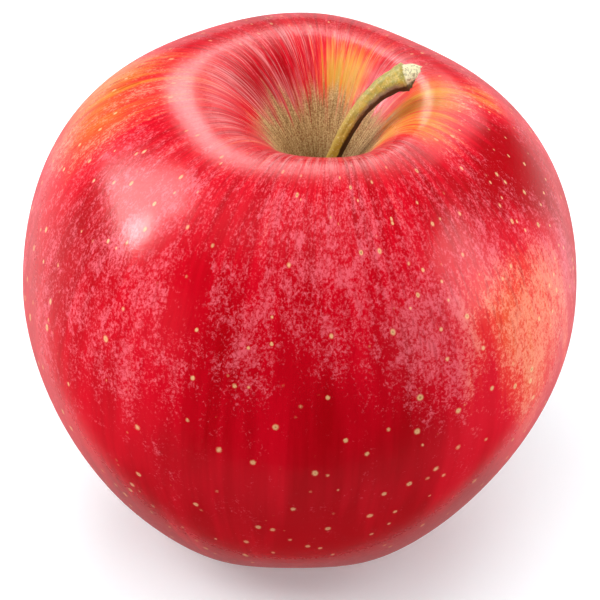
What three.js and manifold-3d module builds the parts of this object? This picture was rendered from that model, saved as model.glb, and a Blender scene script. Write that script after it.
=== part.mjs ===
// An apple that stands on its base, as picked: the fruit with its stem cavity and calyx basin, the woody
// stalk seated in the cavity, and the dried flower in the basin, which is five sepals round a tuft of
// stamens. Millimetres, +Z up along the core. The origin is on the surface that the fruit stands on, in the
// middle of the fruit as seen from above.
import * as THREE from "three";
import { mergeVertices } from "three/addons/utils/BufferGeometryUtils.js";
import Module from "manifold-3d";

const { smoothstep, lerp, degToRad } = THREE.MathUtils;

// The room left between two solids that touch in the real fruit.
const CLEARANCE = 0.3;

// The fruit's outline, from the core outwards. A fullness is the length of a curve's handle as a share of
// the distance that the curve covers in the handle's direction.
const FRUIT = {
  radius: 39,
  equatorHeight: 37.3,
  shoulderHeight: 70.3,
  shoulderRadius: 16.5,
  ringRadius: 13.5,
  ringFullness: 0.38,
  lowerFullness: 0.38,
  upperFullness: 0.65,
  shoulderFullness: 0.38,
};

// The hollow that the stalk grows in.
const CAVITY = {
  depth: 16.5,
  floorHandle: 2.4,
  wallFullness: 0.5,
  offset: 2.8,
};

// The hollow in the base, and the narrow tube above it that holds the stamens.
const BASIN = {
  depth: 7.2,
  wallFullness: 0.45,
  tubeRadius: 2.5,
  tubeDepth: 4,
};

// An apple has five seed cells, so it swells in five lobes. They show at the shoulders, and at the base,
// where the fruit bears on them.
const LOBES = {
  count: 5,
  bearing: 90,
  shoulderSwell: 0.018,
  baseLift: 1.3,
  baseReach: 14,
};

// The core leans towards +X on its way up, and the shoulder is lower on that side.
const LEAN = { shift: 1.4, shoulderSlope: 0.05 };

// The depth of the flat spots that the lobes are pressed to where they bear.
const FLAT_DEPTH = 0.45;

// The stalk, from its seat in the flesh to the scar where it broke from the spur. Its rise and reach are
// taken from the floor of the cavity, and its leans from upright.
const STALK = {
  seatDepth: 3.5,
  rise: 20.4,
  reach: 13.7,
  rootLean: 14,
  rootHandle: 9.4,
  tipLean: 80,
  tipHandle: 7.6,
};

// The stalk's radii, and the shares of its length that they are reached at.
const STALK_RADIUS = { root: 1.1, waist: 1.0, middle: 1.3, neck: 1.6, collar: 1.95, scar: 1.65, tip: 1.05 };
const STALK_AT = { waist: 0.35, middle: 0.75, neck: 0.875, collar: 0.925, collarEnd: 0.95, scar: 0.975 };

const SEPAL = {
  count: 5,
  length: 4.8,
  width: 2.9,
  tipWidth: 0.35,
  thickness: 0.5,
  ringRadius: 3.3,
  splay: 14,
  curl: 32,
};

const TUFT = { radius: 1.75, waist: 1.3, reach: 4.4, ridges: 10, ridgeDepth: 0.14 };

// Grid sizes.
const AROUND = 60;
const ALONG = { tube: 4, basin: 9, lower: 13, upper: 10, cavity: 9 };
const STALK_GRID = { around: 14, along: 40 };
const SEPAL_GRID = { along: 8, across: 4 };

const skinRed = new THREE.MeshStandardMaterial({ color: 0xc01a26, roughness: 0.32, metalness: 0 });
const stalkBrown = new THREE.MeshStandardMaterial({ color: 0x7a6a2c, roughness: 0.75, metalness: 0 });
const driedBrown = new THREE.MeshStandardMaterial({ color: 0x6b5538, roughness: 0.9, metalness: 0 });

const wasm = await Module();
wasm.setup();

// A geometry's closed surface as a solid that can be cut.
function toSolid(geometry) {
  const bare = geometry.clone();
  bare.deleteAttribute("normal");
  bare.deleteAttribute("uv");
  const merged = mergeVertices(bare, 1e-4);
  const mesh = { numProp: 3, vertProperties: merged.attributes.position.array };
  return new wasm.Manifold(new wasm.Mesh({ ...mesh, triVerts: new Uint32Array(merged.index.array) }));
}

function toGeometry(solid) {
  const { vertProperties, triVerts } = solid.getMesh();
  const geometry = new THREE.BufferGeometry();
  geometry.setAttribute("position", new THREE.BufferAttribute(vertProperties, 3));
  geometry.setIndex(new THREE.BufferAttribute(triVerts, 1));
  geometry.computeVertexNormals();
  return geometry;
}

// Moves each vertex of a geometry to where place puts it.
function reshape(geometry, place) {
  const position = geometry.attributes.position;
  const vertex = new THREE.Vector3();
  for (let i = 0; i < position.count; i++) {
    place(vertex.fromBufferAttribute(position, i));
    position.setXYZ(i, vertex.x, vertex.y, vertex.z);
  }
  geometry.computeVertexNormals();
  return geometry;
}

function curve(from, fromHandle, toHandle, to, steps) {
  const start = new THREE.Vector2(...from);
  const end = new THREE.Vector2(...to);
  const leaving = start.clone().add(new THREE.Vector2(...fromHandle));
  const arriving = end.clone().add(new THREE.Vector2(...toHandle));
  return new THREE.CubicBezierCurve(start, leaving, arriving, end).getPoints(steps);
}

// The calyx tube's wall from its inner end to its mouth, or what fits in it with a clearance.
function tubeCurve(clearance) {
  const radius = BASIN.tubeRadius - clearance;
  const depth = BASIN.tubeDepth - clearance;
  return curve([0, BASIN.depth + depth], [radius, 0], [0, depth / 2], [radius, BASIN.depth], ALONG.tube);
}

// The outline as [radius, height] points, from the top of the calyx tube, round the base ring, the equator
// and the shoulder, to the floor of the stem cavity. The ring dips below the surface that the fruit stands
// on by the depth of its flat spots.
function fruitOutline() {
  const { radius, equatorHeight, shoulderHeight, shoulderRadius, ringRadius } = FRUIT;
  const ringHeight = -FLAT_DEPTH;
  const tubeMouth = [BASIN.tubeRadius, BASIN.depth];
  const ring = [ringRadius, ringHeight];
  const equator = [radius, equatorHeight];
  const shoulder = [shoulderRadius, shoulderHeight];
  const floor = [0, shoulderHeight - CAVITY.depth];
  const basinHandle = BASIN.wallFullness * (ringRadius - BASIN.tubeRadius);
  const ringHandle = FRUIT.ringFullness * (radius - ringRadius);
  const lowerHandle = FRUIT.lowerFullness * (equatorHeight - ringHeight);
  const upperHandle = FRUIT.upperFullness * (shoulderHeight - equatorHeight);
  const shoulderHandle = FRUIT.shoulderFullness * (radius - shoulderRadius);
  const cavityHandle = CAVITY.wallFullness * shoulderRadius;
  const pieces = [
    tubeCurve(0),
    curve(tubeMouth, [basinHandle, 0], [-basinHandle, 0], ring, ALONG.basin),
    curve(ring, [ringHandle, 0], [0, -lowerHandle], equator, ALONG.lower),
    curve(equator, [0, upperHandle], [shoulderHandle, 0], shoulder, ALONG.upper),
    curve(shoulder, [-cavityHandle, 0], [CAVITY.floorHandle, 0], floor, ALONG.cavity),
  ];
  return pieces.flatMap((points, i) => (i ? points.slice(1) : points));
}

// Where the core is, sideways, at a height and a distance from itself.
function coreShift(height, distance) {
  const up = smoothstep(height, 0, FRUIT.shoulderHeight);
  const inCavity = up * (1 - smoothstep(distance, 0, 2 * FRUIT.shoulderRadius));
  return LEAN.shift * up + CAVITY.offset * inCavity;
}

// Takes a point of the plain turned fruit to where it has grown.
function grow(point) {
  const distance = Math.hypot(point.x, point.y);
  const up = smoothstep(point.z, 0, FRUIT.shoulderHeight);
  const lobe = Math.cos(LOBES.count * (Math.atan2(point.y, point.x) - degToRad(LOBES.bearing)));
  const low = 1 - smoothstep(point.z, 0, LOBES.baseReach);
  const outOfTube = smoothstep(distance, BASIN.tubeRadius, FRUIT.ringRadius);
  const lift = (LOBES.baseLift * low * outOfTube * (1 - lobe)) / 2;
  const swell = 1 + LOBES.shoulderSwell * up * lobe;
  const shift = coreShift(point.z, distance);
  const slope = LEAN.shoulderSlope * point.x * up;
  point.set(point.x * swell + shift, point.y * swell, point.z + lift - slope);
  point.z = Math.max(point.z, 0);
}

// The stalk's centre line lies in the XZ plane: straight in its seat, then curving over towards +X.
function stalkLine() {
  const floor = FRUIT.shoulderHeight - CAVITY.depth;
  const lean = degToRad(STALK.rootLean);
  const tipLean = degToRad(STALK.tipLean);
  const rootWay = new THREE.Vector3(Math.sin(lean), 0, Math.cos(lean));
  const tipWay = new THREE.Vector3(Math.sin(tipLean), 0, Math.cos(tipLean));
  const root = new THREE.Vector3(coreShift(floor, 0), 0, floor);
  const foot = root.clone().addScaledVector(rootWay, -STALK.seatDepth);
  const tip = root.clone().add(new THREE.Vector3(STALK.reach, 0, STALK.rise));
  const line = new THREE.CurvePath();
  line.add(new THREE.LineCurve3(foot, root));
  const leaving = root.clone().addScaledVector(rootWay, STALK.rootHandle);
  const arriving = tip.clone().addScaledVector(tipWay, -STALK.tipHandle);
  line.add(new THREE.CubicBezierCurve3(root, leaving, arriving, tip));
  return { line, root, rootWay };
}

// The stalk's radius at a share of its length.
function stalkRadius(share) {
  const stations = [
    [0, STALK_RADIUS.root],
    [STALK_AT.waist, STALK_RADIUS.waist],
    [STALK_AT.middle, STALK_RADIUS.middle],
    [STALK_AT.neck, STALK_RADIUS.neck],
    [STALK_AT.collar, STALK_RADIUS.collar],
    [STALK_AT.collarEnd, STALK_RADIUS.collar],
    [STALK_AT.scar, STALK_RADIUS.scar],
    [1, STALK_RADIUS.tip],
  ];
  const next = Math.max(1, stations.findIndex(([at]) => at >= share));
  const [from, fromRadius] = stations[next - 1];
  const [to, toRadius] = stations[next];
  return lerp(fromRadius, toRadius, smoothstep(share, from, to));
}

function stalkGeometry() {
  const { line } = stalkLine();
  const straight = new THREE.CylinderGeometry(1, 1, 1, STALK_GRID.around, STALK_GRID.along);
  return reshape(straight, (vertex) => {
    const share = THREE.MathUtils.clamp(vertex.y + 0.5, 0, 1);
    const centre = line.getPointAt(share);
    const way = line.getTangentAt(share);
    const radius = stalkRadius(share);
    const [across, aside] = [vertex.x * radius, vertex.z * radius];
    vertex.set(centre.x + across * way.z, -aside, centre.z - across * way.x);
  });
}

// The seat that the stalk's root stands in, with clearance all round and under its foot.
function seatGeometry() {
  const { root, rootWay } = stalkLine();
  const radius = STALK_RADIUS.root + CLEARANCE;
  const depth = STALK.seatDepth + CLEARANCE;
  const above = 2 * STALK_RADIUS.root;
  const seat = new THREE.CylinderGeometry(radius, radius, depth + above, STALK_GRID.around * 2);
  seat.translate(0, (above - depth) / 2, 0);
  seat.applyQuaternion(new THREE.Quaternion().setFromUnitVectors(new THREE.Vector3(0, 1, 0), rootWay));
  return seat.translate(root.x, root.y, root.z);
}

function fruitGeometry() {
  const turned = new THREE.LatheGeometry(fruitOutline(), AROUND).rotateX(Math.PI / 2);
  return toGeometry(toSolid(reshape(turned, grow)).subtract(toSolid(seatGeometry())));
}

// A dried sepal that hangs from the rim of the calyx tube and curls outwards. It is drawn along +X and
// turned to its bearing by its mesh.
function sepalGeometry() {
  const { length, width, tipWidth, thickness } = SEPAL;
  const sheet = new THREE.BoxGeometry(1, 1, 1, SEPAL_GRID.along, SEPAL_GRID.across, 1);
  const top = BASIN.depth - 1.5 * CLEARANCE;
  return reshape(sheet, (vertex) => {
    const along = vertex.x + 0.5;
    const breadth = lerp(width, tipWidth, along ** 1.6);
    const bend = degToRad(SEPAL.splay + SEPAL.curl * along);
    const out = SEPAL.ringRadius + length * along * Math.sin(bend);
    const down = length * along * Math.cos(bend);
    const cup = 0.5 * thickness * (4 * vertex.y ** 2) * (1 - along);
    const skin = vertex.z * thickness * lerp(1, 0.6, along);
    vertex.set(out + skin * Math.cos(bend) - cup, vertex.y * breadth, top - down + skin * Math.sin(bend));
  });
}

// The tuft of dried stamens, which fills the calyx tube, leans with it, and spreads below its mouth.
function tuftGeometry() {
  const { radius, waist, reach, ridges, ridgeDepth } = TUFT;
  const foot = BASIN.depth - reach;
  const outline = [
    ...tubeCurve(CLEARANCE),
    new THREE.Vector2(waist, BASIN.depth - 0.25 * reach),
    new THREE.Vector2(waist, BASIN.depth - 0.5 * reach),
    new THREE.Vector2(radius, BASIN.depth - 0.85 * reach),
    new THREE.Vector2(radius, foot),
    new THREE.Vector2(0.6 * radius, foot + 0.2),
    new THREE.Vector2(0, foot + 0.5),
  ].reverse();
  const tuft = new THREE.LatheGeometry(outline, 4 * ridges).rotateX(Math.PI / 2);
  return reshape(tuft, (vertex) => {
    const ridge = 1 + (ridgeDepth * (Math.cos(ridges * Math.atan2(vertex.y, vertex.x)) - 1)) / 2;
    vertex.set(vertex.x * ridge + coreShift(vertex.z, 0), vertex.y * ridge, vertex.z);
  });
}

function piece(name, geometry, material, parent) {
  const mesh = new THREE.Mesh(geometry, material);
  mesh.name = name;
  parent.add(mesh);
  return mesh;
}

const apple = new THREE.Group();
const growth = new THREE.Group();
apple.add(growth);

const fruit = piece("fruit", fruitGeometry(), skinRed, growth);
piece("stem", stalkGeometry(), stalkBrown, growth);

const sepalShape = sepalGeometry();
for (let i = 0; i < SEPAL.count; i++) {
  const sepal = piece(`sepal_${i + 1}`, sepalShape, driedBrown, growth);
  sepal.rotation.z = degToRad(LOBES.bearing + (360 * i) / SEPAL.count);
  sepal.position.x = coreShift(BASIN.depth, SEPAL.ringRadius);
}
piece("stamen_tuft", tuftGeometry(), driedBrown, growth);

// The origin goes to the middle of the fruit as seen from above.
const middle = new THREE.Box3().setFromObject(fruit).getCenter(new THREE.Vector3());
growth.position.set(-middle.x, -middle.y, 0);

export default apple;
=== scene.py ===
"""Looks for a whole red apple that stands on its base: the skin, the woody stalk in its cavity, and the dried
flower in the hollow of the base, with a plain studio round them."""

import logging
import math
from dataclasses import dataclass, field
from enum import Enum
from typing import Sequence, Union

import bmesh
import bpy
from mathutils import Matrix, Vector, noise
from mathutils.geometry import interpolate_bezier


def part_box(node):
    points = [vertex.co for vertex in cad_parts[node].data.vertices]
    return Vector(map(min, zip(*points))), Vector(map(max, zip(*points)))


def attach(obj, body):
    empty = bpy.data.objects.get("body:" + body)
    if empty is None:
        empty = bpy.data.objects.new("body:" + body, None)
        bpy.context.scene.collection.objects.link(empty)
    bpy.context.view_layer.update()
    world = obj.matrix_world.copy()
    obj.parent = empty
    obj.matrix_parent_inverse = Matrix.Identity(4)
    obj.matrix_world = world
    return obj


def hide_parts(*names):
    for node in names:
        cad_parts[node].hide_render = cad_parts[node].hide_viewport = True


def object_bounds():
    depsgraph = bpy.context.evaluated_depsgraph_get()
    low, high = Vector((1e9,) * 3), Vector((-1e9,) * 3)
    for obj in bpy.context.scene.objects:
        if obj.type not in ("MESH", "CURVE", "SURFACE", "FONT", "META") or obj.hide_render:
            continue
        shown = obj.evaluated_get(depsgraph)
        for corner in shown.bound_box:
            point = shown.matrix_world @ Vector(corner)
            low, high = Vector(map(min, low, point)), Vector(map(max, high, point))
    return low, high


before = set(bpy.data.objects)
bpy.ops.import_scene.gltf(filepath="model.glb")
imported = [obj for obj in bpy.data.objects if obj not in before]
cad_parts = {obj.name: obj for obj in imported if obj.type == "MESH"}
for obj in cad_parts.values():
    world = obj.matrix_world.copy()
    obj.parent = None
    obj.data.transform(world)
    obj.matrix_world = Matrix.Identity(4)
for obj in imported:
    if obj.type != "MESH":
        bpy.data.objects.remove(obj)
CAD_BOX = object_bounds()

LOG = logging.getLogger("apple")
MM = 0.001
UP = Vector((0.0, 0.0, 1.0))
BODY = "root"

Colour = tuple[float, float, float, float]
Link = Union["Value", float, tuple, Vector]


class Slot(Enum):
    """The record's material slots."""

    SKIN = "skin"
    STEM = "stem"
    CALYX = "calyx"


def paint(code: str) -> Colour:
    """Turns a colour as painters write it into the linear light that shaders work in.

    Args:
        code: six hexadecimal digits, red first.

    Returns:
        The linear colour, with an alpha of 1.
    """
    shares = [int(code[i : i + 2], 16) / 255 for i in (0, 2, 4)]
    linear = [s / 12.92 if s <= 0.04045 else ((s + 0.055) / 1.055) ** 2.4 for s in shares]
    return (*linear, 1.0)


def smooth(value: float, low: float, high: float) -> float:
    """Rises smoothly from 0 at low to 1 at high.

    Args:
        value: the number to place.
        low: where the rise starts.
        high: where it ends.

    Returns:
        A share from 0 to 1.
    """
    share = min(max((value - low) / (high - low), 0.0), 1.0)
    return share * share * (3 - 2 * share)


class Value:
    """A shader socket that can be reckoned with: an expression on it adds its Math nodes."""

    def __init__(self, bench: "Bench", socket: bpy.types.NodeSocket) -> None:
        """Wraps a socket of a bench's node tree."""
        self.bench = bench
        self.socket = socket

    def _math(self, operation: str, first: Link, second: Link) -> "Value":
        """Adds one Math node.

        Args:
            operation: the node's operation.
            first: its first value.
            second: its second value.

        Returns:
            The node's result.
        """
        return self.bench.add("ShaderNodeMath", {"operation": operation}, {0: first, 1: second})

    def __add__(self, other: Link) -> "Value":
        """Gives self + other."""
        return self._math("ADD", self, other)

    def __radd__(self, other: Link) -> "Value":
        """Gives other + self."""
        return self._math("ADD", other, self)

    def __sub__(self, other: Link) -> "Value":
        """Gives self - other."""
        return self._math("SUBTRACT", self, other)

    def __rsub__(self, other: Link) -> "Value":
        """Gives other - self."""
        return self._math("SUBTRACT", other, self)

    def __mul__(self, other: Link) -> "Value":
        """Gives self * other."""
        return self._math("MULTIPLY", self, other)

    def __rmul__(self, other: Link) -> "Value":
        """Gives other * self."""
        return self._math("MULTIPLY", other, self)

    def __truediv__(self, other: Link) -> "Value":
        """Gives self / other."""
        return self._math("DIVIDE", self, other)

    def __abs__(self) -> "Value":
        """Gives the distance from zero."""
        return self._math("ABSOLUTE", self, 0.0)

    def rise(self, low: float, high: float, start: Link = 0.0, end: Link = 1.0) -> "Value":
        """Goes smoothly from start, where self is low, to end, where self is high.

        Args:
            low: the value that the change starts at.
            high: the value that it ends at.
            start: the result up to low.
            end: the result from high on.

        Returns:
            The eased value.
        """
        settings = {"interpolation_type": "SMOOTHSTEP"}
        links = {"Value": self, "From Min": low, "From Max": high, "To Min": start, "To Max": end}
        return self.bench.add("ShaderNodeMapRange", settings, links)


class Bench:
    """A material, or the room's light, in the making."""

    def __init__(self, owner: Union[bpy.types.Material, bpy.types.World]) -> None:
        """Starts with an empty node tree."""
        self.owner = owner
        owner.use_nodes = True
        self.tree = owner.node_tree
        self.tree.nodes.clear()

    def add(self, kind: str, settings: dict, links: dict, result: Union[int, str, None] = 0) -> Value:
        """Adds any node.

        Args:
            kind: the node's type.
            settings: its settings, which are set first. "stops" fills a ramp with [place, colour] pairs.
            links: a value or a link for each socket that is given, by name or by number.
            result: the output that is wanted, by name or by number, or None if the node has none.

        Returns:
            That output.
        """
        node = self.tree.nodes.new(kind)
        for name, setting in settings.items():
            if name == "stops":
                self._fill_ramp(node.color_ramp, setting)
            else:
                setattr(node, name, setting)
        for name, link in links.items():
            if isinstance(link, Value):
                self.tree.links.new(link.socket, node.inputs[name])
            else:
                node.inputs[name].default_value = link
        return Value(self, None if result is None else node.outputs[result])

    @staticmethod
    def _fill_ramp(ramp: bpy.types.ColorRamp, stops: Sequence[tuple[float, Colour]]) -> None:
        """Gives a ramp its stops.

        Args:
            ramp: the ramp.
            stops: a place and a colour for each stop, in rising order.
        """
        while len(ramp.elements) < len(stops):
            ramp.elements.new(1.0)
        for element, (place, colour) in zip(ramp.elements, stops):
            element.position = place
            element.color = colour

    def spot(self) -> Value:
        """Gives the place on the piece, in millimetres."""
        place = self.add("ShaderNodeTexCoord", {}, {}, "Object")
        return self.stretch(place, (1 / MM, 1 / MM, 1 / MM))

    def attribute(self, name: str) -> Value:
        """Gives a vector that the piece's mesh holds."""
        settings = {"attribute_type": "GEOMETRY", "attribute_name": name}
        return self.add("ShaderNodeAttribute", settings, {}, "Vector")

    def stretch(self, place: Link, factors: Sequence[float]) -> Value:
        """Multiplies a vector, axis by axis."""
        return self.add("ShaderNodeVectorMath", {"operation": "MULTIPLY"}, {0: place, 1: tuple(factors)})

    def split(self, vector: Value) -> tuple[Value, Value, Value]:
        """Takes a vector apart.

        Args:
            vector: the vector.

        Returns:
            Its three parts.
        """
        parts = [self.add("ShaderNodeSeparateXYZ", {}, {0: vector}, axis) for axis in "XYZ"]
        return parts[0], parts[1], parts[2]

    def cloud(self, place: Link, size: Sequence[float], detail: float = 2.0, rough: float = 0.5,
              warp: float = 0.0, shift: float = 0.0) -> Value:
        """Adds a soft random pattern.

        Args:
            place: where it is read, in millimetres.
            size: the size of one patch of it along each axis, in millimetres.
            detail: how many finer patterns it holds.
            rough: how strong those are.
            warp: how much it is twisted.
            shift: a number that gives it another draw.

        Returns:
            A value round 0.5.
        """
        scaled = self.stretch(place, [1 / s for s in size])
        moved = self.add("ShaderNodeVectorMath", {"operation": "ADD"}, {0: scaled, 1: (shift, shift, shift)})
        links = {"Vector": moved, "Scale": 1.0, "Detail": detail, "Roughness": rough, "Distortion": warp}
        return self.add("ShaderNodeTexNoise", {"noise_dimensions": "3D"}, links)

    def ramp(self, value: Link, stops: Sequence[tuple[float, Colour]]) -> Value:
        """Turns a value into a colour."""
        return self.add("ShaderNodeValToRGB", {"stops": stops}, {0: value})

    def mix(self, share: Link, first: Link, second: Link) -> Value:
        """Mixes two colours.

        Args:
            share: how much of the second there is.
            first: the first colour.
            second: the second colour.

        Returns:
            The mixed colour.
        """
        settings = {"data_type": "RGBA", "blend_type": "MIX", "clamp_factor": True}
        return self.add("ShaderNodeMix", settings, {0: share, 6: first, 7: second}, 2)

    def bump(self, height: Value, depth: float, strength: float = 1.0) -> Value:
        """Makes relief.

        Args:
            height: the height over the surface, as a share of depth.
            depth: the height that a value of 1 stands for, in millimetres.
            strength: how much of it shows.

        Returns:
            The bent normal.
        """
        links = {"Height": height, "Distance": depth * MM, "Strength": strength}
        return self.add("ShaderNodeBump", {}, links)

    def finish(self, **links: Link) -> bpy.types.Material:
        """Closes a material with its surface.

        Args:
            **links: values or links for the surface's sockets, with _ for a space in their names.

        Returns:
            The material.
        """
        named = {name.replace("_", " "): link for name, link in links.items()}
        surface = self.add("ShaderNodeBsdfPrincipled", {}, named)
        self.add("ShaderNodeOutputMaterial", {}, {"Surface": surface}, None)
        return self.owner


@dataclass(frozen=True)
class Patch:
    """A part of the skin with more or less of something, such as red or flecks. Its bearing and spread are in
    degrees round the core, and its middle and reach in millimetres along the skin from the shoulder."""

    bearing: float
    spread: float
    middle: float
    reach: float
    strength: float

    def mask(self, skin: "SkinBench") -> Value:
        """Builds what the patch adds.

        Args:
            skin: the skin's bench.

        Returns:
            The strength in the patch's middle, and nothing outside it.
        """
        turn = math.radians(self.bearing)
        facing = skin.east * (math.cos(turn) / skin.girth) + skin.north * (math.sin(turn) / skin.girth)
        round_core = facing.rise(math.cos(math.radians(self.spread)), 1.0)
        down_side = abs(skin.along - self.middle).rise(0.0, self.reach, 1.0, 0.0)
        return round_core * down_side * self.strength


class SkinBench(Bench):
    """The skin's material in the making, with the places, patterns and red that its layers share."""

    def __init__(self, finish: "SkinFinish") -> None:
        """Lays out what the layers share, and the bare blush as the first colour."""
        super().__init__(bpy.data.materials.new("apple_skin"))
        self.girth = finish.girth
        self.growth = self.attribute("growth")
        self.place = self.spot()
        self.east, self.north, self.along = self.split(self.growth)
        self.wide = self.cloud(self.growth, finish.wide_streak, 3.0, 0.55, 0.3)
        self.fine = self.cloud(self.growth, finish.fine_streak, 3.0, 0.6, 0.2, 7.0)
        self.drift = self.cloud(self.growth, finish.drift, 2.0, 0.5, 0.0, 3.0)
        self.round_grains = self.cloud(self.growth, finish.round_grain, 3.0, 0.7, 0.5, 5.0)
        self.long_grains = self.cloud(self.growth, finish.long_grain, 3.0, 0.7, 0.4, 5.0)
        self.crest = abs(self.along - finish.crest_middle).rise(*finish.crest_fade, 1.0, 0.0)
        redness = finish.redness(self)
        self.warm = redness.rise(*finish.warm_ground, 1.0, 0.0)
        self.colour = self.ramp(redness, [(place, paint(code)) for place, code in finish.blush])

    def add_patches(self, start: Value, patches: Sequence[Patch]) -> Value:
        """Adds patches to a value.

        Args:
            start: the value.
            patches: the patches.

        Returns:
            The sum.
        """
        for patch in patches:
            start = start + patch.mask(self)
        return start

    def lay(self, share: Link, over: Link) -> None:
        """Lays another colour over the skin's colour."""
        self.colour = self.mix(share, self.colour, over)


@dataclass(frozen=True)
class SkinFinish:
    """Waxy apple skin: red over a yellow ground, in streaks that run from the stalk to the flower. Sizes of
    patterns are in millimetres, twice across the streaks and then along them, and stretches of skin are in
    millimetres down from the shoulder."""

    girth: float = 39.0
    blush: tuple = (
        (0.00, "d0a03e"),
        (0.20, "dd9530"),
        (0.36, "e4702c"),
        (0.52, "ea3a2e"),
        (0.68, "da0a24"),
        (0.84, "ca021a"),
        (1.00, "a8000c"),
    )
    base_red: float = 0.84
    warm_ground: tuple = (0.5, 0.8)
    wide_streak: tuple = (6.0, 6.0, 60.0)
    fine_streak: tuple = (1.3, 1.3, 22.0)
    drift: tuple = (15.0, 15.0, 24.0)
    lower_side: tuple = (44.0, 78.0)
    lower_red: float = 0.3
    underside: tuple = (80.0, 99.0)
    fleck: str = "ef6f7e"
    warm_fleck: str = "f8a284"
    round_grain: tuple = (0.42, 0.42, 0.46)
    long_grain: tuple = (0.4, 0.4, 1.9)
    clump: tuple = (1.5, 1.5, 1.8)
    swarm: tuple = (5.5, 5.5, 9.0)
    fleck_edge: tuple = (0.47, 0.67)
    fleck_strength: tuple = (0.66, 0.25)
    dash: str = "b80016"
    dash_size: tuple = (0.55, 0.55, 3.4)
    dash_strength: float = 0.6
    thread: str = "f4b0ae"
    warm_thread: str = "eeb468"
    thread_size: tuple = (0.5, 0.5, 6.0)
    ribbon_size: tuple = (2.2, 2.2, 14.0)
    thread_strength: float = 0.44
    crest_middle: float = 0.3
    crest_fade: tuple = (0.3, 5.0)
    # Pale grains on the crest: partly the skin's own bloom and partly a painted sheen. The same share also
    # roughens the crest.
    crest_bloom_and_sheen: float = 0.14
    pore: str = "e9b680"
    pore_heart: str = "8a5a22"
    pore_gap: tuple = (2.7, 2.7, 2.9)
    pore_strength: tuple = (0.85, 0.5)
    russet: str = "a98350"
    russet_dark_and_shade: str = "5a4a28"
    russet_light: str = "d8b680"
    cork_speck: float = 0.22
    cork_ray: tuple = (1.1, 1.1, 5.0)
    cork_blotch: tuple = (3.5, 3.5, 7.0)
    cavity_cork: tuple = (-13.0, -7.5)
    flower_cork: tuple = (101.0, 106.0)
    dimple: float = 0.55
    relief: tuple = (0.14, 0.55)
    roughness: float = 0.215
    glancing_roughness: float = 0.26
    coat: float = 0.06
    coat_roughness: float = 0.22
    index: float = 1.45
    specular: float = 0.18
    swarms: tuple = (
        Patch(-82, 21, 40, 17, -0.75),
        Patch(-107, 12, 40, 13, -0.65),
        Patch(-117, 6, 20, 10, -0.9),
        Patch(-140, 28, 30, 26, 0.1),
        Patch(-60, 18, 27, 17, 0.35),
        Patch(-60, 16, 43, 9, -0.4),
        Patch(-24, 24, 36, 30, 0.8),
        Patch(-92, 40, 15, 18, 0.3),
        Patch(-10, 20, 15, 14, -0.8),
    )
    patches: tuple = (
        Patch(-32, 27, 32, 32, -0.4),
        Patch(168, 32, 14, 21, -0.46),
        Patch(72, 24, -7, 9, -0.66),
        Patch(135, 34, -7, 8, 0.2),
        Patch(-4, 38, 0, 13, -0.5),
        Patch(-16, 36, -9, 8, -0.4),
        Patch(-12, 22, 15, 15, 0.34),
        Patch(-40, 20, 14, 13, 0.22),
        Patch(-62, 24, 12, 16, -0.04),
        Patch(14, 12, 10, 6, -0.3),
        Patch(-106, 10, 32, 24, 0.10),
        Patch(-82, 22, 38, 24, 0.08),
        Patch(100, 40, 40, 34, -0.22),
        Patch(-150, 20, 26, 26, 0.10),
    )

    def redness(self, skin: SkinBench) -> Value:
        """Tells where the red lies, and how thickly.

        Args:
            skin: the skin's bench.

        Returns:
            The redness: 0 is the bare yellow ground, and 1 the deepest red.
        """
        along, wide = skin.along, skin.wide
        near_top = along.rise(-4.0, 26.0, 1.0, 0.0)
        in_cavity = along.rise(-16.0, -2.0, 1.0, 0.0)
        broad = (wide - 0.5) * along.rise(4.0, 40.0, 0.3, 0.6)
        narrow = (skin.fine - 0.5) * (near_top * 0.85 + 0.15)
        redness = broad + narrow + (skin.drift - 0.5) * 0.35 + self.base_red - in_cavity * 0.12
        redness = skin.add_patches(redness, self.patches)
        bare = along.rise(*self.underside) * ((wide - 0.5) * 1.4 + 0.5)
        return redness + along.rise(*self.lower_side) * self.lower_red - bare

    def lay_flecks(self, skin: SkinBench) -> None:
        """Lays pale flecks: grains in clumps, and clumps in swarms between the solid red parts.

        Args:
            skin: the skin's bench.
        """
        along = skin.along
        swarm = skin.cloud(skin.growth, self.swarm, 2.0, 0.6, 0.4, 11.0)
        clumps = skin.cloud(skin.growth, self.clump, 2.0, 0.6, 0.3, 13.0)
        grains = skin.round_grains + (skin.long_grains - skin.round_grains) * along.rise(-4.0, 5.0, 1.0, 0.0)
        crowd = (swarm - 0.5) * 2.3 - (skin.wide - 0.5) * 0.9
        crowd = crowd + along.rise(32.0, 54.0, 0.0, -0.7) - along.rise(-2.0, 8.0, 0.5, 0.0)
        crowd = skin.add_patches(crowd, self.swarms)
        flecks = (grains * 0.68 + clumps * 0.32 + crowd * 0.14).rise(*self.fleck_edge)
        fleck_colour = skin.mix(skin.warm, paint(self.fleck), paint(self.warm_fleck))
        skin.lay(flecks * along.rise(36.0, 64.0, *self.fleck_strength), fleck_colour)

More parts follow.
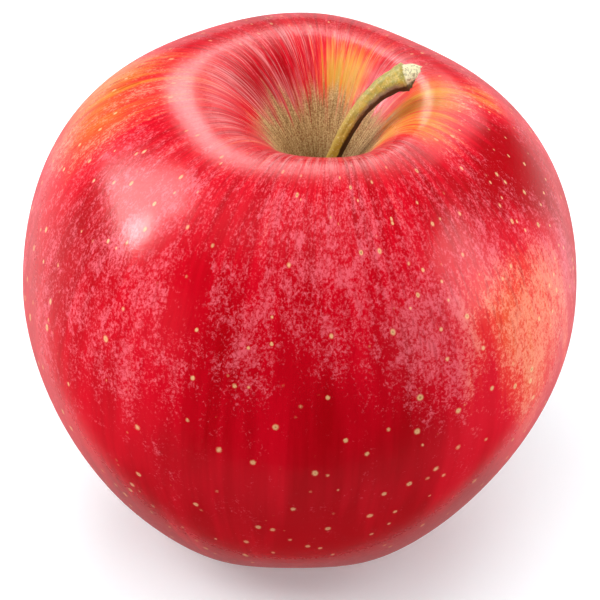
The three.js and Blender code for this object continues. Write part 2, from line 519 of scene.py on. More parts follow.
    def lay_streaks(self, skin: SkinBench) -> None:
        """Lays short deep red streaks, fine pale threads out of the cavity, and a pale bloom on the crest
        that is partly a painted sheen.

        Args:
            skin: the skin's bench.
        """
        along = skin.along
        dash = skin.cloud(skin.growth, self.dash_size, 2.0, 0.55, 0.2, 37.0).rise(0.53, 0.66)
        dashes = dash * skin.drift.rise(0.35, 0.6, 1.0, 0.5) * along.rise(20.0, 42.0, 1.0, 0.0)
        skin.lay(dashes * self.dash_strength, paint(self.dash))
        thread = skin.cloud(skin.growth, self.thread_size, 3.0, 0.65, 0.2, 19.0)
        ribbon = skin.cloud(skin.growth, self.ribbon_size, 2.0, 0.5, 0.2, 43.0)
        threads = (thread * 0.6 + ribbon * 0.4 + skin.crest * 0.03).rise(0.48, 0.64)
        threads = threads * along.rise(-3.0, 3.0, 1.0, 0.0)
        # The crest's pale grains are partly a painted sheen along the rim, laid over the skin's own paler
        # bloom.
        share = threads * self.thread_strength + skin.crest * skin.round_grains * self.crest_bloom_and_sheen
        skin.lay(share, skin.mix(skin.warm, paint(self.thread), paint(self.warm_thread)))

    def lay_pores(self, skin: SkinBench) -> Value:
        """Lays the skin's pores, each of its own size, some with a brown heart.

        Args:
            skin: the skin's bench.

        Returns:
            Where the pores are.
        """
        along = skin.along
        spread = skin.stretch(skin.growth, [1 / gap for gap in self.pore_gap])
        cells = {"Vector": spread, "Scale": 1.0, "Randomness": 1.0}
        cell = skin.add("ShaderNodeTexVoronoi", {"feature": "F1"}, cells, "Distance")
        draw = skin.split(skin.add("ShaderNodeTexVoronoi", {"feature": "F1"}, cells, "Color"))[0]
        size = along.rise(16.0, 44.0, 0.9, 1.12) * (draw * 0.6 + 0.65)
        ragged = (cell + (skin.round_grains - 0.5) * 0.14) / size
        pores = ragged.rise(0.07, 0.17, 1.0, 0.0) * along.rise(-4.0, 6.0)
        hearts = ragged.rise(0.0, 0.09, 1.0, 0.0) * draw.rise(0.25, 0.8) * along.rise(30.0, 85.0, 0.8, 0.2)
        skin.lay(pores * along.rise(42.0, 66.0, *self.pore_strength), paint(self.pore))
        skin.lay(hearts * pores, paint(self.pore_heart))
        return pores

    def lay_cork(self, skin: SkinBench) -> tuple[Value, Value]:
        """Lays corky russet in the cavity and round the flower, with painted shade deep in the cavity.

        Args:
            skin: the skin's bench.

        Returns:
            Where the cork is, and its specks.
        """
        along = skin.along
        speck = skin.cloud(skin.place, (self.cork_speck,) * 3, 3.0, 0.7, 0.0, 23.0)
        rays = skin.cloud(skin.growth, self.cork_ray, 3.0, 0.65, 0.2, 41.0)
        blotch = skin.cloud(skin.growth, self.cork_blotch, 3.0, 0.6, 0.5, 29.0)
        edge = along + (blotch - 0.5) * 12.0 + (skin.fine - 0.5) * 8.0
        in_cavity = edge.rise(*self.cavity_cork, 1.0, 0.0)
        by_flower = (along + (blotch - 0.5) * 8.0).rise(*self.flower_cork)
        corky = skin.add("ShaderNodeMath", {"operation": "MAXIMUM"}, {0: in_cavity, 1: by_flower})
        dark, mid, light = paint(self.russet_dark_and_shade), paint(self.russet), paint(self.russet_light)
        cork = skin.ramp(speck * 0.55 + rays * 0.45, [(0.38, dark), (0.47, mid), (0.58, light)])
        # Painted shade: deep in the cavity, towards the stalk's seat, the cork turns to its dark tone.
        cork = skin.mix(along.rise(-24.0, -13.0, 1.0, 0.0) * 0.8, cork, dark)
        skin.lay(corky * speck.rise(0.25, 0.5, 0.7, 1.0), cork)
        return corky, speck

    def material(self) -> bpy.types.Material:
        """Builds the skin's material, layer by layer.

        Returns:
            The material.
        """
        skin = SkinBench(self)
        self.lay_flecks(skin)
        self.lay_streaks(skin)
        pores = self.lay_pores(skin)
        corky, speck = self.lay_cork(skin)
        dimples = skin.cloud(skin.place, (self.dimple,) * 3, 2.0, 0.5, 0.0, 31.0)
        near_rim = skin.along.rise(-4.0, 6.0, 1.0, 0.0)
        height = dimples * 0.35 + pores * 0.2 + corky * speck * 1.6
        height = height + (skin.fine * 0.8 + skin.long_grains * 0.4) * near_rim
        rough = (dimples - 0.5) * 0.12 + self.roughness + corky * 0.42 + pores * 0.1
        rough = rough + skin.crest * skin.round_grains * self.crest_bloom_and_sheen
        glancing = skin.add("ShaderNodeLayerWeight", {}, {"Blend": 0.5}, "Facing")
        return skin.finish(
            Base_Color=skin.colour,
            Roughness=rough + glancing.rise(0.64, 0.94) * self.glancing_roughness,
            Coat_Weight=self.coat - corky * self.coat,
            Coat_Roughness=self.coat_roughness,
            IOR=self.index,
            Specular_IOR_Level=self.specular,
            Normal=skin.bump(height, *self.relief),
        )


@dataclass(frozen=True)
class StalkFinish:
    """Woody stalk: olive yellow where the light ripened it, dark brown on the inside of its bend, with a pale
    scar at its broken end. The dark inner side is partly its own brown and partly painted shade; painted
    shade also darkens the scar's inner side and the foot down in the cavity."""

    sunny: str = "c0a23a"
    olive: str = "8f8a3a"
    brown_and_shade: str = "3a1b0c"
    lilac: str = "8d7a72"
    scar: str = "eadfb4"
    scar_crack_and_shade: str = "5d4a22"

    def material(self) -> bpy.types.Material:
        """Builds the stalk's material.

        Returns:
            The material.
        """
        bench = Bench(bpy.data.materials.new("apple_stalk"))
        growth = bench.attribute("growth")
        inward, _, share = bench.split(growth)
        spot = bench.spot()
        fibre = bench.cloud(growth, (0.16, 0.16, 0.035), 3.0, 0.6)
        mottle = bench.cloud(spot, (0.9, 0.9, 0.9), 3.0, 0.65, 0.3, 2.0)
        specks = bench.cloud(spot, (0.28, 0.28, 0.28), 2.0, 0.6, 0.0, 9.0)
        green = share.rise(0.35, 0.85)
        colour = bench.mix(green * mottle.rise(0.3, 0.7), paint(self.sunny), paint(self.olive))
        colour = bench.mix(specks.rise(0.55, 0.72) * 0.5, colour, paint(self.scar))
        dark_specks = specks.rise(0.28, 0.42, 1.0, 0.0) * share.rise(0.5, 0.9)
        colour = bench.mix(dark_specks * 0.6, colour, paint(self.brown_and_shade))
        line = inward + (mottle - 0.5) * 0.5 + (fibre - 0.5) * 0.3
        grey = line.rise(-0.35, 0.05) * share.rise(0.5, 0.72) * share.rise(0.9, 0.97, 1.0, 0.0)
        colour = bench.mix(grey * 0.75, colour, paint(self.lilac))
        # Painted shade: the inner side of the bend turns dark, partly the stalk's own brown and partly shade.
        shade = line.rise(0.0, 0.28)
        colour = bench.mix(shade * 0.96, colour, paint(self.brown_and_shade))
        broken = (share + (mottle - 0.5) * 0.02).rise(0.944, 0.952)
        chips = bench.mix(specks.rise(0.36, 0.52, 0.55, 0.0), paint(self.scar), paint(self.scar_crack_and_shade))
        # Painted shade: the scar darkens on the inner side of the bend, its underside, over its dark cracks.
        chips = bench.mix((inward + (specks - 0.5)).rise(0.1, 0.7), chips, paint(self.scar_crack_and_shade))
        colour = bench.mix(broken, colour, chips)
        # Painted shade: the stalk darkens towards its foot, down in the cavity's shadow.
        foot = share.rise(0.12, 0.3, 0.5, 0.0)
        colour = bench.mix(foot, colour, paint(self.brown_and_shade))
        relief = fibre * 0.5 + mottle * 0.5 + broken * specks
        return bench.finish(
            Base_Color=colour,
            Roughness=0.62 + (fibre - 0.5) * 0.3 + broken * 0.25,
            IOR=1.45,
            Normal=bench.bump(relief, 0.16, 0.8),
        )


@dataclass(frozen=True)
class DriedFinish:
    """Dried sepals and stamens: brown, greyer where their down has stayed."""

    name: str = "apple_sepal"
    light: str = "9a7b4f"
    mid: str = "6a4b2b"
    dark: str = "2f1e10"
    down: str = "b9ad94"

    def material(self) -> bpy.types.Material:
        """Builds the material.

        Returns:
            The material.
        """
        bench = Bench(bpy.data.materials.new(self.name))
        spot = bench.spot()
        growth = bench.attribute("growth")
        side, _, share = bench.split(growth)
        vein = bench.cloud(growth, (0.12, 0.12, 0.9), 3.0, 0.6)
        blotch = bench.cloud(spot, (1.2, 1.2, 1.2), 3.0, 0.6, 0.4)
        fuzz = bench.cloud(spot, (0.12, 0.12, 0.35), 2.0, 0.7, 0.0, 4.0)
        dark, mid, light = paint(self.dark), paint(self.mid), paint(self.light)
        colour = bench.ramp(vein * 0.6 + blotch * 0.4, [(0.32, dark), (0.5, mid), (0.68, light)])
        colour = bench.mix(share.rise(0.6, 1.0) * 0.6, colour, dark)
        colour = bench.mix(fuzz.rise(0.5, 0.66) * 0.55, colour, paint(self.down))
        return bench.finish(
            Base_Color=colour,
            Roughness=0.86 + (vein - 0.5) * 0.2,
            Normal=bench.bump(vein * 0.7 + fuzz * 0.6, 0.12, 0.8),
        )


@dataclass(frozen=True)
class FloorFinish:
    """A plain pale floor, lit from below as a light table is, and more so far from the fruit. Its cool tint,
    strongest near the fruit, is painted to cancel the red light that the skin bounces onto it.
    """

    tone: str = "eef4f7"
    hazy_tone: str = "e6edf1"
    near_tone: str = "eaf5f8"
    far_tone: str = "ffffff"
    near: tuple = (30.0, 90.0)
    far: tuple = (150.0, 1000.0)
    near_glow: float = 0.26
    glow: float = 0.9

    def material(self) -> bpy.types.Material:
        """Builds the floor's material.

        Returns:
            The material.
        """
        bench = Bench(bpy.data.materials.new("floor"))
        spot = bench.spot()
        away = bench.add("ShaderNodeVectorMath", {"operation": "LENGTH"}, {0: spot}, "Value")
        haze = bench.cloud(spot, (160.0, 160.0, 160.0), 2.0)
        colour = bench.mix(haze * 0.12, paint(self.tone), paint(self.hazy_tone))
        # Painted cool tint near the fruit, against the red light that the skin bounces onto the floor.
        colour = bench.mix(away.rise(*self.near, 1.0, 0.0), colour, paint(self.near_tone))
        # The glow near the fruit is dimmer and takes the same painted cool tint.
        dim = tuple(part * self.near_glow for part in paint(self.near_tone))
        lit = bench.mix(away.rise(*self.far), dim, paint(self.far_tone))
        glow = {"Emission_Color": lit, "Emission_Strength": self.glow}
        return bench.finish(Base_Color=colour, Roughness=0.75, **glow)


def box_of(bm: bmesh.types.BMesh) -> tuple[Vector, Vector]:
    """Measures a mesh.

    Args:
        bm: the mesh.

    Returns:
        Its lowest and highest corners.
    """
    corners = [[vert.co[axis] for vert in bm.verts] for axis in range(3)]
    return Vector([min(c) for c in corners]), Vector([max(c) for c in corners])


def fit_to(bm: bmesh.types.BMesh, low: Vector, high: Vector) -> None:
    """Moves and scales a mesh so that it fills a box.

    Args:
        bm: the mesh.
        low: the box's lowest corner.
        high: the box's highest corner.
    """
    own_low, own_high = box_of(bm)
    scale = Matrix.Diagonal([(high[i] - low[i]) / (own_high[i] - own_low[i]) for i in range(3)]).to_4x4()
    place = Matrix.Translation(low) @ scale @ Matrix.Translation(-own_low)
    bmesh.ops.transform(bm, matrix=place, verts=bm.verts)


def turn_outward(bm: bmesh.types.BMesh) -> None:
    """Turns the faces of every closed shell in a mesh outward.

    Args:
        bm: the mesh.
    """
    bmesh.ops.recalc_face_normals(bm, faces=bm.faces)
    seen: set[bmesh.types.BMFace] = set()
    for first in bm.faces:
        if first in seen:
            continue
        seen.add(first)
        shell = [first]
        for face in shell:
            beside = [other for edge in face.edges for other in edge.link_faces if other not in seen]
            seen.update(beside)
            shell.extend(dict.fromkeys(beside))
        middle = sum((face.calc_center_median() for face in shell), Vector()) / len(shell)
        volume = sum(f.calc_area() * f.normal.dot(f.calc_center_median() - middle) for f in shell)
        if volume < 0:
            bmesh.ops.reverse_faces(bm, faces=shell)


def make_piece(name: str, bm: bmesh.types.BMesh, material: bpy.types.Material,
               node: str) -> bpy.types.Object:
    """Fits a finished mesh to its CAD node and turns it into the piece that stands for the node.

    Args:
        name: the piece's name.
        bm: its mesh, in millimetres.
        material: its material.
        node: the CAD node that it stands for.

    Returns:
        The piece.
    """
    fit_to(bm, *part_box(node))
    mesh = bpy.data.meshes.new(name)
    for face in bm.faces:
        face.smooth = True
    bm.to_mesh(mesh)
    bm.free()
    mesh.materials.append(material)
    piece = bpy.data.objects.new(name, mesh)
    bpy.context.scene.collection.objects.link(piece)
    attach(piece, BODY)
    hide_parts(node)
    LOG.info("%s: %d faces, for %s", name, len(mesh.polygons), node)
    return piece


@dataclass
class Fruit:
    """The fruit, turned from its outline and then grown out of true: five lobes, a leaning core and a cavity
    that sits off centre. Lengths are in millimetres."""

    radius: float = 39.0
    equator_height: float = 37.3
    shoulder_height: float = 70.3
    shoulder_radius: float = 16.5
    ring_radius: float = 13.5
    ring_fullness: float = 0.38
    lower_fullness: float = 0.38
    upper_fullness: float = 0.65
    shoulder_fullness: float = 0.38
    cavity_depth: float = 16.5
    cavity_floor: float = 2.4
    cavity_wall: float = 0.5
    cavity_offset: float = 2.8
    basin_depth: float = 7.2
    basin_wall: float = 0.45
    tube_radius: float = 2.5
    tube_depth: float = 4.0
    lobes: int = 5
    lobe_bearing: float = 90.0
    lobe_swell: float = 0.018
    base_lift: float = 1.3
    base_reach: float = 14.0
    lean: float = 1.4
    shoulder_slope: float = 0.05
    flat_depth: float = 0.45
    steps_round: int = 288
    steps_along: tuple = (8, 30, 62, 56, 44)
    waviness: float = 0.22
    finish: SkinFinish = field(default_factory=SkinFinish)

    def outline(self) -> list[Vector]:
        """Draws half of the fruit's section, from the inner end of the calyx tube to the cavity's floor.

        Returns:
            The points of the section, with their radius in x and their height in z.
        """
        ring_height = -self.flat_depth
        knots = [
            (0.0, self.basin_depth + self.tube_depth),
            (self.tube_radius, self.basin_depth),
            (self.ring_radius, ring_height),
            (self.radius, self.equator_height),
            (self.shoulder_radius, self.shoulder_height),
            (0.0, self.shoulder_height - self.cavity_depth),
        ]
        basin = self.basin_wall * (self.ring_radius - self.tube_radius)
        ring = self.ring_fullness * (self.radius - self.ring_radius)
        lower = self.lower_fullness * (self.equator_height - ring_height)
        upper = self.upper_fullness * (self.shoulder_height - self.equator_height)
        shoulder = self.shoulder_fullness * (self.radius - self.shoulder_radius)
        wall = self.cavity_wall * self.shoulder_radius
        handles = [
            ((self.tube_radius, 0.0), (0.0, self.tube_depth / 2)),
            ((basin, 0.0), (-basin, 0.0)),
            ((ring, 0.0), (0.0, -lower)),
            ((0.0, upper), (shoulder, 0.0)),
            ((-wall, 0.0), (self.cavity_floor, 0.0)),
        ]
        points: list[Vector] = []
        for start, end, (leaving, arriving), steps in zip(knots, knots[1:], handles, self.steps_along):
            first = Vector((start[0], 0.0, start[1]))
            last = Vector((end[0], 0.0, end[1]))
            out = first + Vector((leaving[0], 0.0, leaving[1]))
            back = last + Vector((arriving[0], 0.0, arriving[1]))
            points += interpolate_bezier(first, out, back, last, steps + 1)[bool(points) :]
        return points

    def core_shift(self, height: float, distance: float) -> float:
        """Tells how far the core stands to the side.

        Args:
            height: the height over the ground.
            distance: the distance from the core.

        Returns:
            The shift towards +X.
        """
        up = smooth(height, 0.0, self.shoulder_height)
        inside = up * (1 - smooth(distance, 0.0, 2 * self.shoulder_radius))
        return self.lean * up + self.cavity_offset * inside

    def grow(self, point: Vector, along: float) -> Vector:
        """Takes a point of the plain turned fruit to where it has grown.

        Args:
            point: the point.
            along: its distance along the skin from the shoulder.

        Returns:
            Its place on the grown fruit.
        """
        distance = math.hypot(point.x, point.y)
        bearing = math.atan2(point.y, point.x)
        up = smooth(point.z, 0.0, self.shoulder_height)
        lobe = math.cos(self.lobes * (bearing - math.radians(self.lobe_bearing)))
        low = 1 - smooth(point.z, 0.0, self.base_reach)
        out_of_tube = smooth(distance, self.tube_radius, self.ring_radius)
        lift = self.base_lift * low * out_of_tube * (1 - lobe) / 2
        swell = 1 + self.lobe_swell * up * lobe
        shift = self.core_shift(point.z, distance)
        slope = self.shoulder_slope * point.x * up
        grown = Vector((point.x * swell + shift, point.y * swell, point.z + lift - slope))
        wave = noise.noise(Vector((point.x / 16, point.y / 16, point.z / 26)))
        calm = smooth(distance, 4.0, 20.0) * smooth(point.z, 1.0, 16.0)
        grown += grown.normalized() * (wave * self.waviness * calm)
        grown.z = max(grown.z, 0.0)
        return grown

    def build(self) -> bpy.types.Object:
        """Turns the section round the core, grows it, and fits it to the CAD fruit.

        Returns:
            The skin.
        """
        bm = bmesh.new()
        reach = bm.verts.layers.float.new("reach")
        points = self.outline()
        lengths = [0.0]
        for before, after in zip(points, points[1:]):
            lengths.append(lengths[-1] + (after - before).length)
        shoulder = lengths[sum(self.steps_along[:4])]
        last = bm.verts.new(points[0])
        last[reach] = shoulder
        for point, length in zip(points[1:], lengths[1:]):
            last = bmesh.ops.extrude_vert_indiv(bm, verts=[last])["verts"][0]
            last.co = point
            last[reach] = shoulder - length
        bmesh.ops.spin(bm, geom=bm.verts[:] + bm.edges[:], cent=(0, 0, 0), axis=UP, angle=math.tau,
                       steps=self.steps_round, use_merge=True)
        bmesh.ops.remove_doubles(bm, verts=bm.verts, dist=1e-4)
        turn_outward(bm)
        growth = bm.verts.layers.float_vector.new("growth")
        for vert in bm.verts:
            bearing = math.atan2(vert.co.y, vert.co.x)
            vert[growth] = (self.radius * math.cos(bearing), self.radius * math.sin(bearing), vert[reach])
        self.unroll(bm, growth, shoulder, lengths[-1])
        for vert in bm.verts:
            vert.co = self.grow(vert.co, vert[reach])
        return make_piece("skin", bm, self.finish.material(), "fruit")

    def unroll(self, bm: bmesh.types.BMesh, growth: bmesh.types.BMLayerItem, shoulder: float,
               length: float) -> None:
        """Lays the skin out flat: its bearing across, and its distance along the section upwards.

        Args:
            bm: the turned mesh.
            growth: the layer that holds the bearing and the distance.
            shoulder: the length of the section up to the shoulder.
            length: the length of the whole section.
        """
        chart = bm.loops.layers.uv.new("OFBake")
        for face in bm.faces:
            middle = face.calc_center_median()
            centre = math.atan2(middle.y, middle.x) % math.tau
            for loop in face.loops:
                place = loop.vert[growth]
                bearing = math.atan2(place[1], place[0]) % math.tau
                if math.hypot(loop.vert.co.x, loop.vert.co.y) < 1e-3:
                    bearing = centre
                turn = (bearing - centre + math.pi) % math.tau - math.pi + centre
                loop[chart].uv = (turn / math.tau, (shoulder - place[2]) / length)


@dataclass
class Stalk:
    """The woody stalk: seated in the cavity's floor, bent over towards +X, with a collar and a broken end.
    Lengths are in millimetres."""

    seat_depth: float = 3.5
    rise: float = 20.4
    reach: float = 13.7
    root_lean: float = 14.0
    root_handle: float = 9.4
    tip_lean: float = 80.0
    tip_handle: float = 7.6
    stations: tuple = (
        (0.0, 1.1),
        (0.35, 1.0),
        (0.6, 1.12),
        (0.75, 1.3),
        (0.875, 1.6),
        (0.92, 1.9),
        (0.94, 1.98),
        (0.952, 1.62),
        (0.975, 1.5),
        (1.0, 1.05),
    )
    line_steps: int = 400
    sides: int = 56
    rings: int = 150
    cap_rings: int = 4
    cap_ring_width: float = 0.2
    finish: StalkFinish = field(default_factory=StalkFinish)

    def centre_line(self) -> list[Vector]:
        """Draws the middle of the stalk.

        Returns:
            Its points, from the foot in the flesh to the broken end.
        """
        lean, tip_lean = math.radians(self.root_lean), math.radians(self.tip_lean)
        root_way = Vector((math.sin(lean), 0.0, math.cos(lean)))
        tip_way = Vector((math.sin(tip_lean), 0.0, math.cos(tip_lean)))
        root, tip = Vector((0.0, 0.0, 0.0)), Vector((self.reach, 0.0, self.rise))
        out, back = root + root_way * self.root_handle, tip - tip_way * self.tip_handle
        return [root - root_way * self.seat_depth] + interpolate_bezier(root, out, back, tip, self.line_steps)

    @staticmethod
    def at(line: Sequence[Vector], share: float) -> tuple[Vector, Vector]:
        """Finds a place on a line.

        Args:
            line: the line's points.
            share: the share of its length.

        Returns:
            The place and the line's way there.
        """
        lengths = [(b - a).length for a, b in zip(line, line[1:])]
        left = share * sum(lengths)
        for a, b, length in zip(line, line[1:], lengths):
            if left <= length or b is line[-1]:
                break
            left -= length
        return a.lerp(b, left / length), (b - a).normalized()

    def girth(self, share: float) -> float:
        """Gives the stalk's radius at a share of its length."""
        for (low, thin), (high, thick) in zip(self.stations, self.stations[1:]):
            if share <= high:
                return thin + (thick - thin) * smooth(share, low, high)
        return self.stations[-1][1]

    def build(self) -> bpy.types.Object:
        """Bends a rod along the line, and gives it ridges, a collar and a ragged end.

        Returns:
            The stalk.
        """
        bm = bmesh.new()
        bmesh.ops.create_cone(bm, cap_ends=True, segments=self.sides, radius1=1.0, radius2=1.0, depth=1.0)
        long_edges = [e for e in bm.edges if abs(e.verts[0].co.z - e.verts[1].co.z) > 0.5]
        bmesh.ops.subdivide_edges(bm, edges=long_edges, cuts=self.rings, use_grid_fill=True)
        for cap in [f for f in bm.faces if len(f.verts) > 4]:
            inner = [cap]
            for _ in range(self.cap_rings):
                bmesh.ops.inset_region(bm, faces=inner, thickness=self.cap_ring_width, use_even_offset=True)
        for cap in [f for f in bm.faces if len(f.verts) > 4]:
            bmesh.ops.poke(bm, faces=[cap])
        growth = bm.verts.layers.float_vector.new("growth")
        line = self.centre_line()
        way_at = {}
        for vert in bm.verts:
            share = min(max(vert.co.z + 0.5, 0.0), 1.0)
            key = round(share, 5)
            if key not in way_at:
                way_at[key] = self.at(line, share)
            centre, way = way_at[key]
            outward = math.hypot(vert.co.x, vert.co.y)
            angle = math.atan2(vert.co.y, vert.co.x)
            vert[growth] = (math.cos(angle), math.sin(angle), share)
            place = Vector((math.cos(angle) * 1.6, math.sin(angle) * 1.6, share * 9.0))
            ridge = 0.045 * math.sin(angle * 5 + share * 4) + 0.10 * noise.noise(place)
            ridge += 0.05 * noise.noise(place * 3.1)
            ragged = smooth(share, 0.948, 0.962)
            chip = noise.noise(Vector((math.cos(angle) * 1.5, math.sin(angle) * 1.5, 4.0)))
            crust = noise.noise(Vector((math.cos(angle) * 3.5, math.sin(angle) * 3.5, share * 60.0)))
            radius = self.girth(share) * (1 + ridge + ragged * (0.16 * chip + 0.12 * crust)) * outward
            collar = math.exp(-(((share - 0.938) / 0.012) ** 2))
            radius *= 1 + 0.08 * collar * crust
            across = Vector((way.z, 0.0, -way.x))
            aside = Vector((0.0, 1.0, 0.0))
            slant = -0.75 * math.cos(angle) * outward * smooth(share, 0.955, 1.0)
            jagged = noise.noise(Vector((vert.co.x * 2.4, vert.co.y * 2.4, 1.0)))
            jag = smooth(share, 0.97, 1.0) * 0.5 * jagged
            hollow = -0.35 * smooth(1 - outward, 0.0, 0.8) * (share > 0.9999)
            vert.co = (
                centre
                + across * (math.cos(angle) * radius)
                + aside * (math.sin(angle) * radius)
                + way * (slant + jag + hollow)
            )
        turn_outward(bm)
        return make_piece("stalk", bm, self.finish.material(), "stem")


@dataclass
class Calyx:
    """The dried flower in the base: five sepals and a tuft of stamens. Lengths are in millimetres."""

    sepals: int = 5
    bearing: float = 90.0
    length: float = 4.9
    width: float = 2.9
    thickness: float = 0.34
    splay: float = 12.0
    curl: float = 50.0
    grid: tuple = (26, 12)
    stamens: int = 19
    stamen_sides: int = 7
    stamen_rings: int = 12
    sepal_finish: DriedFinish = field(default_factory=DriedFinish)
    stamen_finish: DriedFinish = field(
        default_factory=lambda: DriedFinish("apple_stamen", "a8894f", "6f5430", "38260f", "c2ae7c")
    )

    def sepal(self, index: int, material: bpy.types.Material) -> bpy.types.Object:
        """Shapes one sepal: a pointed leaf, cupped at its root and curled at its tip.

        Args:
            index: its number, from 1.
            material: its material.

        Returns:
            The sepal.
        """
        bm = bmesh.new()
        bmesh.ops.create_grid(bm, x_segments=self.grid[0], y_segments=self.grid[1], size=0.5)
        growth = bm.verts.layers.float_vector.new("growth")
        for vert in bm.verts:
            share, side = vert.co.x + 0.5, vert.co.y * 2
            vert[growth] = (side, 0.0, share)
            crumple = noise.noise(Vector((share * 3.2, side * 1.2, index * 4.7)))
            breadth = self.width * (1 - share**1.9) * (0.86 + 0.25 * math.sin(math.pi * share)) + 0.12
            bend = math.radians(self.splay + self.curl * share + 9 * crumple)
            out = self.length * share * math.sin(bend)
            down = self.length * share * math.cos(bend)
            cup = -0.45 * side * side * (1 - share) + 0.22 * crumple
            fold = 0.16 * math.exp(-((side / 0.16) ** 2))
            lift = cup - fold
            vert.co = Vector((
                out + lift * math.cos(bend),
                side * breadth / 2 * (1 + 0.12 * crumple),
                -down + lift * math.sin(bend),
            ))
        bmesh.ops.solidify(bm, geom=bm.faces[:], thickness=self.thickness)
        turn_outward(bm)
        bearing = math.radians(self.bearing + 360 / self.sepals * (index - 1))
        bmesh.ops.rotate(bm, cent=(0, 0, 0), matrix=Matrix.Rotation(bearing, 3, "Z"), verts=bm.verts)
        return make_piece(f"sepal_{index}_leaf", bm, material, f"sepal_{index}")

    def tuft(self, material: bpy.types.Material) -> bpy.types.Object:
        """Bundles the stamens: thin filaments that spread below the calyx tube, each with its anther.

        Args:
            material: their material.

        Returns:
            The tuft.
        """
        bm = bmesh.new()
        growth = bm.verts.layers.float_vector.new("growth")
        golden = math.pi * (3 - math.sqrt(5))
        for index in range(self.stamens):
            spread = math.sqrt((index + 0.5) / self.stamens)
            turn = index * golden
            reach = 1 - 0.16 * abs(noise.noise(Vector((index * 2.3, 0.5, 1.5))))
            before = len(bm.verts)
            bmesh.ops.create_cone(bm, cap_ends=True, segments=self.stamen_sides, radius1=0.5, radius2=0.5,
                                  depth=1.0)
            sides = {edge for vert in bm.verts[before:] for edge in vert.link_edges}
            uprights = [e for e in sides if abs(e.verts[0].co.z - e.verts[1].co.z) > 0.5]
            bmesh.ops.subdivide_edges(bm, edges=uprights, cuts=self.stamen_rings, use_grid_fill=True)
            for vert in bm.verts[before:]:
                share = vert.co.z + 0.5
                vert[growth] = (vert.co.x, vert.co.y, 1 - share)
                bead = math.exp(-(((share - 0.07) / 0.06) ** 2))
                thick = 0.34 + 0.62 * bead + 0.16 * smooth(share, 0.6, 1.0)
                lay = 0.78 + 0.62 * smooth(1 - share, 0.2, 1.0) ** 1.4
                sway = 0.22 * noise.noise(Vector((index * 1.9, share * 2.0, 7.0)))
                radius = 1.25 * spread * lay
                vert.co = Vector((
                    radius * math.cos(turn + sway) + vert.co.x * thick,
                    radius * math.sin(turn + sway) + vert.co.y * thick,
                    -6.6 * (1 - share) * reach,
                ))
        turn_outward(bm)
        return make_piece("stamens", bm, material, "stamen_tuft")

    def build(self) -> list[bpy.types.Object]:
        """Makes the sepals and the stamens.

        Returns:
            The pieces.
        """
        leaf = self.sepal_finish.material()
        pieces = [self.sepal(index + 1, leaf) for index in range(self.sepals)]
        return pieces + [self.tuft(self.stamen_finish.material())]


@dataclass
class Softbox:
    """A soft light. It aims at the fruit from a bearing and an elevation, in degrees, and a distance, in
    metres. It lights the skin, shows in its wax, or both."""

    name: str
    bearing: float
    elevation: float
    distance: float
    size: tuple[float, float]
    power: float
    lights: bool = True
    mirrored: bool = True

    def build(self, aim: Vector) -> None:
        """Sets the light up.

        Args:
            aim: the point that it aims at.
        """
        light = bpy.data.lights.new(self.name, "AREA")
        light.shape = "RECTANGLE"
        light.size, light.size_y = self.size
        light.energy = self.power
        lamp = bpy.data.objects.new(self.name, light)
        turn, rise = math.radians(self.bearing), math.radians(self.elevation)
        way = Vector((math.cos(rise) * math.cos(turn), math.cos(rise) * math.sin(turn), math.sin(rise)))
        lamp.location = aim + way * self.distance
        lamp.rotation_euler = way.to_track_quat("Z", "Y").to_euler()
        lamp.visible_diffuse = self.lights
        lamp.visible_glossy = self.mirrored
        bpy.context.scene.collection.objects.link(lamp)


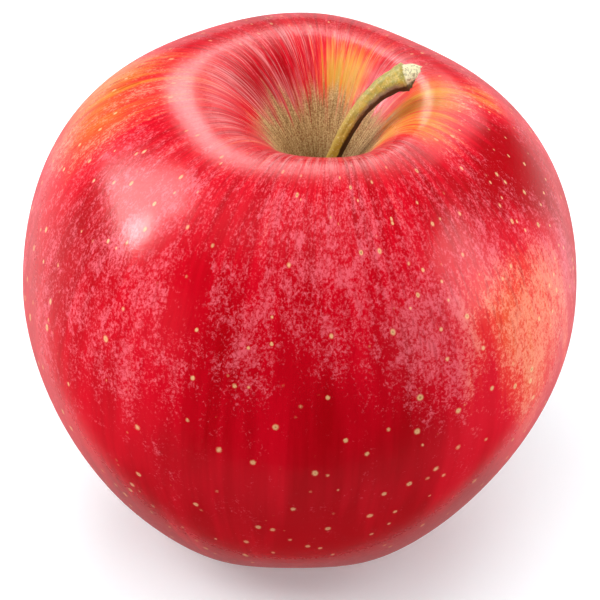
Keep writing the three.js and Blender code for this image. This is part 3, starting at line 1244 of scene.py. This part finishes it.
@dataclass
class Studio:
    """The pale floor, the lights and the camera. Lengths are in metres."""

    floor_size: float = 3.0
    floor_front: float = 0.078
    softboxes: tuple = (
        Softbox("left_core", 179.0, 28.0, 0.9, (0.18, 0.26), 4.6, lights=False),
        Softbox("left_halo", 163.0, 38.0, 0.9, (0.46, 0.7), 14.0, lights=False),
        Softbox("left_softbox", 181.0, 36.0, 0.9, (0.4, 0.6), 4.8, mirrored=False),
        Softbox("right_sheen", -8.0, 19.0, 1.0, (0.56, 0.6), 7.0, lights=False),
        Softbox("right_softbox", 12.0, 24.0, 1.0, (0.5, 0.8), 4.0, mirrored=False),
        Softbox("back_sheen", 60.0, 30.0, 1.1, (0.5, 0.6), 3.2, lights=False),
        Softbox("back_softbox", 70.0, 34.0, 1.1, (0.8, 0.6), 4.8, mirrored=False),
        Softbox("lip_sheen", 99.0, 42.0, 1.1, (0.28, 0.56), 7.4, lights=False),
        Softbox("top_softbox", -104.0, 76.0, 1.3, (1.1, 1.1), 11.4, mirrored=False),
        Softbox("front_left_softbox", -144.0, 6.0, 1.1, (0.6, 0.6), 4.0, mirrored=False),
        Softbox("front_right_softbox", -40.0, 6.0, 1.1, (0.6, 0.6), 4.0, mirrored=False),
    )
    ambient: float = 0.15
    sweep_side: tuple = (0.2, 0.75)
    sweep_top: tuple = (0.06, -0.22)
    sweep_glow: float = 1.0
    dim_glow: float = 0.02
    backdrop: float = 1.0
    elevation: float = 37.0
    distance: float = 0.7
    lens: float = 298.0
    sensor: float = 36.0
    aim_side: float = 0.05 * MM
    aim_rise: float = -0.2 * MM

    def build(self) -> None:
        """Lays the floor, hangs the lights and stands the camera."""
        self.lay_floor()
        low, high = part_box("fruit")
        aim = (low + high) / 2
        for softbox in self.softboxes:
            softbox.build(aim)
        self.light_room()
        self.stand_camera(aim)

    def lay_floor(self) -> None:
        """Lays the floor, which ends a little before the fruit."""
        bm = bmesh.new()
        bmesh.ops.create_grid(bm, x_segments=1, y_segments=1, size=self.floor_size)
        bmesh.ops.translate(bm, vec=(0.0, self.floor_size - self.floor_front, 0.0), verts=bm.verts)
        mesh = bpy.data.meshes.new("floor")
        bm.to_mesh(mesh)
        bm.free()
        mesh.materials.append(FloorFinish().material())
        floor = bpy.data.objects.new("floor", mesh)
        floor.location.z = CAD_BOX[0][2] - 0.05 * MM
        floor.visible_glossy = False
        bpy.context.scene.collection.objects.link(floor)

    def light_room(self) -> None:
        """Fills the room with soft light, of which the wax mirrors only a pale sweep behind the fruit."""
        bench = Bench(bpy.data.worlds.new("room"))
        way = bench.add("ShaderNodeTexCoord", {}, {}, "Generated")
        _, back, up = bench.split(way)
        mirrored = back.rise(*self.sweep_side) * up.rise(*self.sweep_top) * self.sweep_glow + self.dim_glow
        from_camera = bench.add("ShaderNodeLightPath", {}, {}, "Is Camera Ray")
        from_gloss = bench.add("ShaderNodeLightPath", {}, {}, "Is Glossy Ray")
        felt = bench.add("ShaderNodeMix", {}, {0: from_gloss, 2: self.ambient, 3: mirrored})
        seen = bench.add("ShaderNodeMix", {}, {0: from_camera, 2: felt, 3: self.backdrop})
        glow = bench.add("ShaderNodeBackground", {}, {"Color": (1.0, 1.0, 1.0, 1.0), "Strength": seen})
        bench.add("ShaderNodeOutputWorld", {}, {"Surface": glow}, None)
        bpy.context.scene.world = bench.owner
        bpy.context.scene.view_settings.view_transform = "Standard"

    def stand_camera(self, aim: Vector) -> None:
        """Stands the camera in front of the fruit and above it.

        Args:
            aim: the middle of the fruit.
        """
        lens = bpy.data.cameras.new("camera")
        lens.lens = self.lens
        lens.sensor_width = self.sensor
        lens.clip_start = 0.01
        camera = bpy.data.objects.new("camera", lens)
        rise = math.radians(self.elevation)
        way = Vector((0.0, -math.cos(rise), math.sin(rise)))
        target = aim + Vector((self.aim_side, 0.0, self.aim_rise))
        camera.location = target + way * self.distance
        camera.rotation_euler = way.to_track_quat("Z", "Y").to_euler()
        bpy.context.scene.collection.objects.link(camera)
        bpy.context.scene.camera = camera


def main() -> None:
    """Builds the apple and its studio."""
    logging.basicConfig(level=logging.INFO, format="%(name)s %(message)s")
    Fruit().build()
    Stalk().build()
    Calyx().build()
    Studio().build()


if __name__ == "__main__":
    main()
